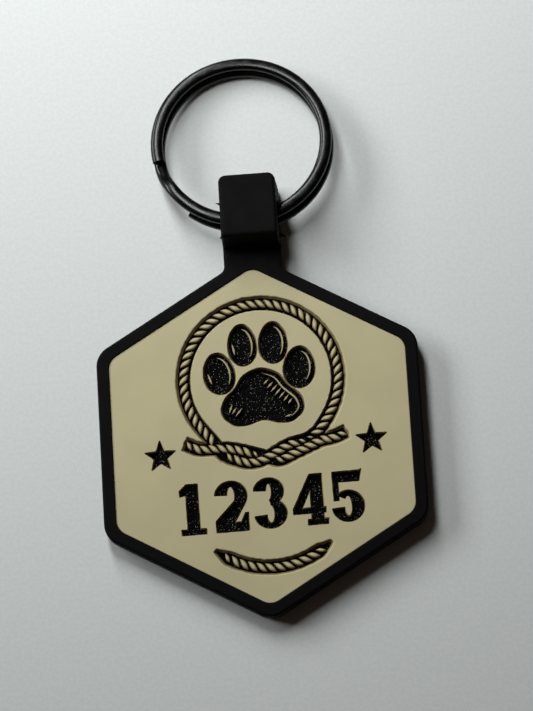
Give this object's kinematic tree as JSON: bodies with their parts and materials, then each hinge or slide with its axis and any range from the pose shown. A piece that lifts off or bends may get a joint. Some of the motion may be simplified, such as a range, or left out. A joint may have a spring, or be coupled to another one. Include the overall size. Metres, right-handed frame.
{
  "type": "pet id tag",
  "caption": "Hexagonal two-colour silicone pet tag with a belt-loop lug carrying a double-turn split ring that swings to hang from a collar.",
  "frame": {"origin": "middle of the hexagon on the tag's flat back face", "axes": "+Z out of the engraved front face, +Y from the hexagon towards the lug and the ring, +X to the right seen from the front"},
  "size_m": [0.035, 0.0626, 0.0063],
  "materials": {
    "black_silicone": "matte moulded black silicone",
    "beige_silicone": "matte sand-beige silicone layer, laser engraved",
    "black_steel": "satin black coated spring steel"
  },
  "bodies": {
    "tag": {"core_body": "black_silicone", "front_panel": "beige_silicone", "front_medallion": "beige_silicone", "rope_ring_strands": "beige_silicone", "rope_tie_strands": "beige_silicone", "rope_garland_strands": "beige_silicone", "paw_glints": "beige_silicone", "digit_counter": "beige_silicone", "back_panel": "beige_silicone"},
    "ring": {"split_ring": "black_steel"}
  },
  "joints": [
    {"name": "ring_swing", "type": "hinge", "parent": "tag", "child": "ring", "pos_m": [0, 0.02378, 0.00345], "axis": [1, 0, 0], "range_deg": [-138, 184]}
  ]
}
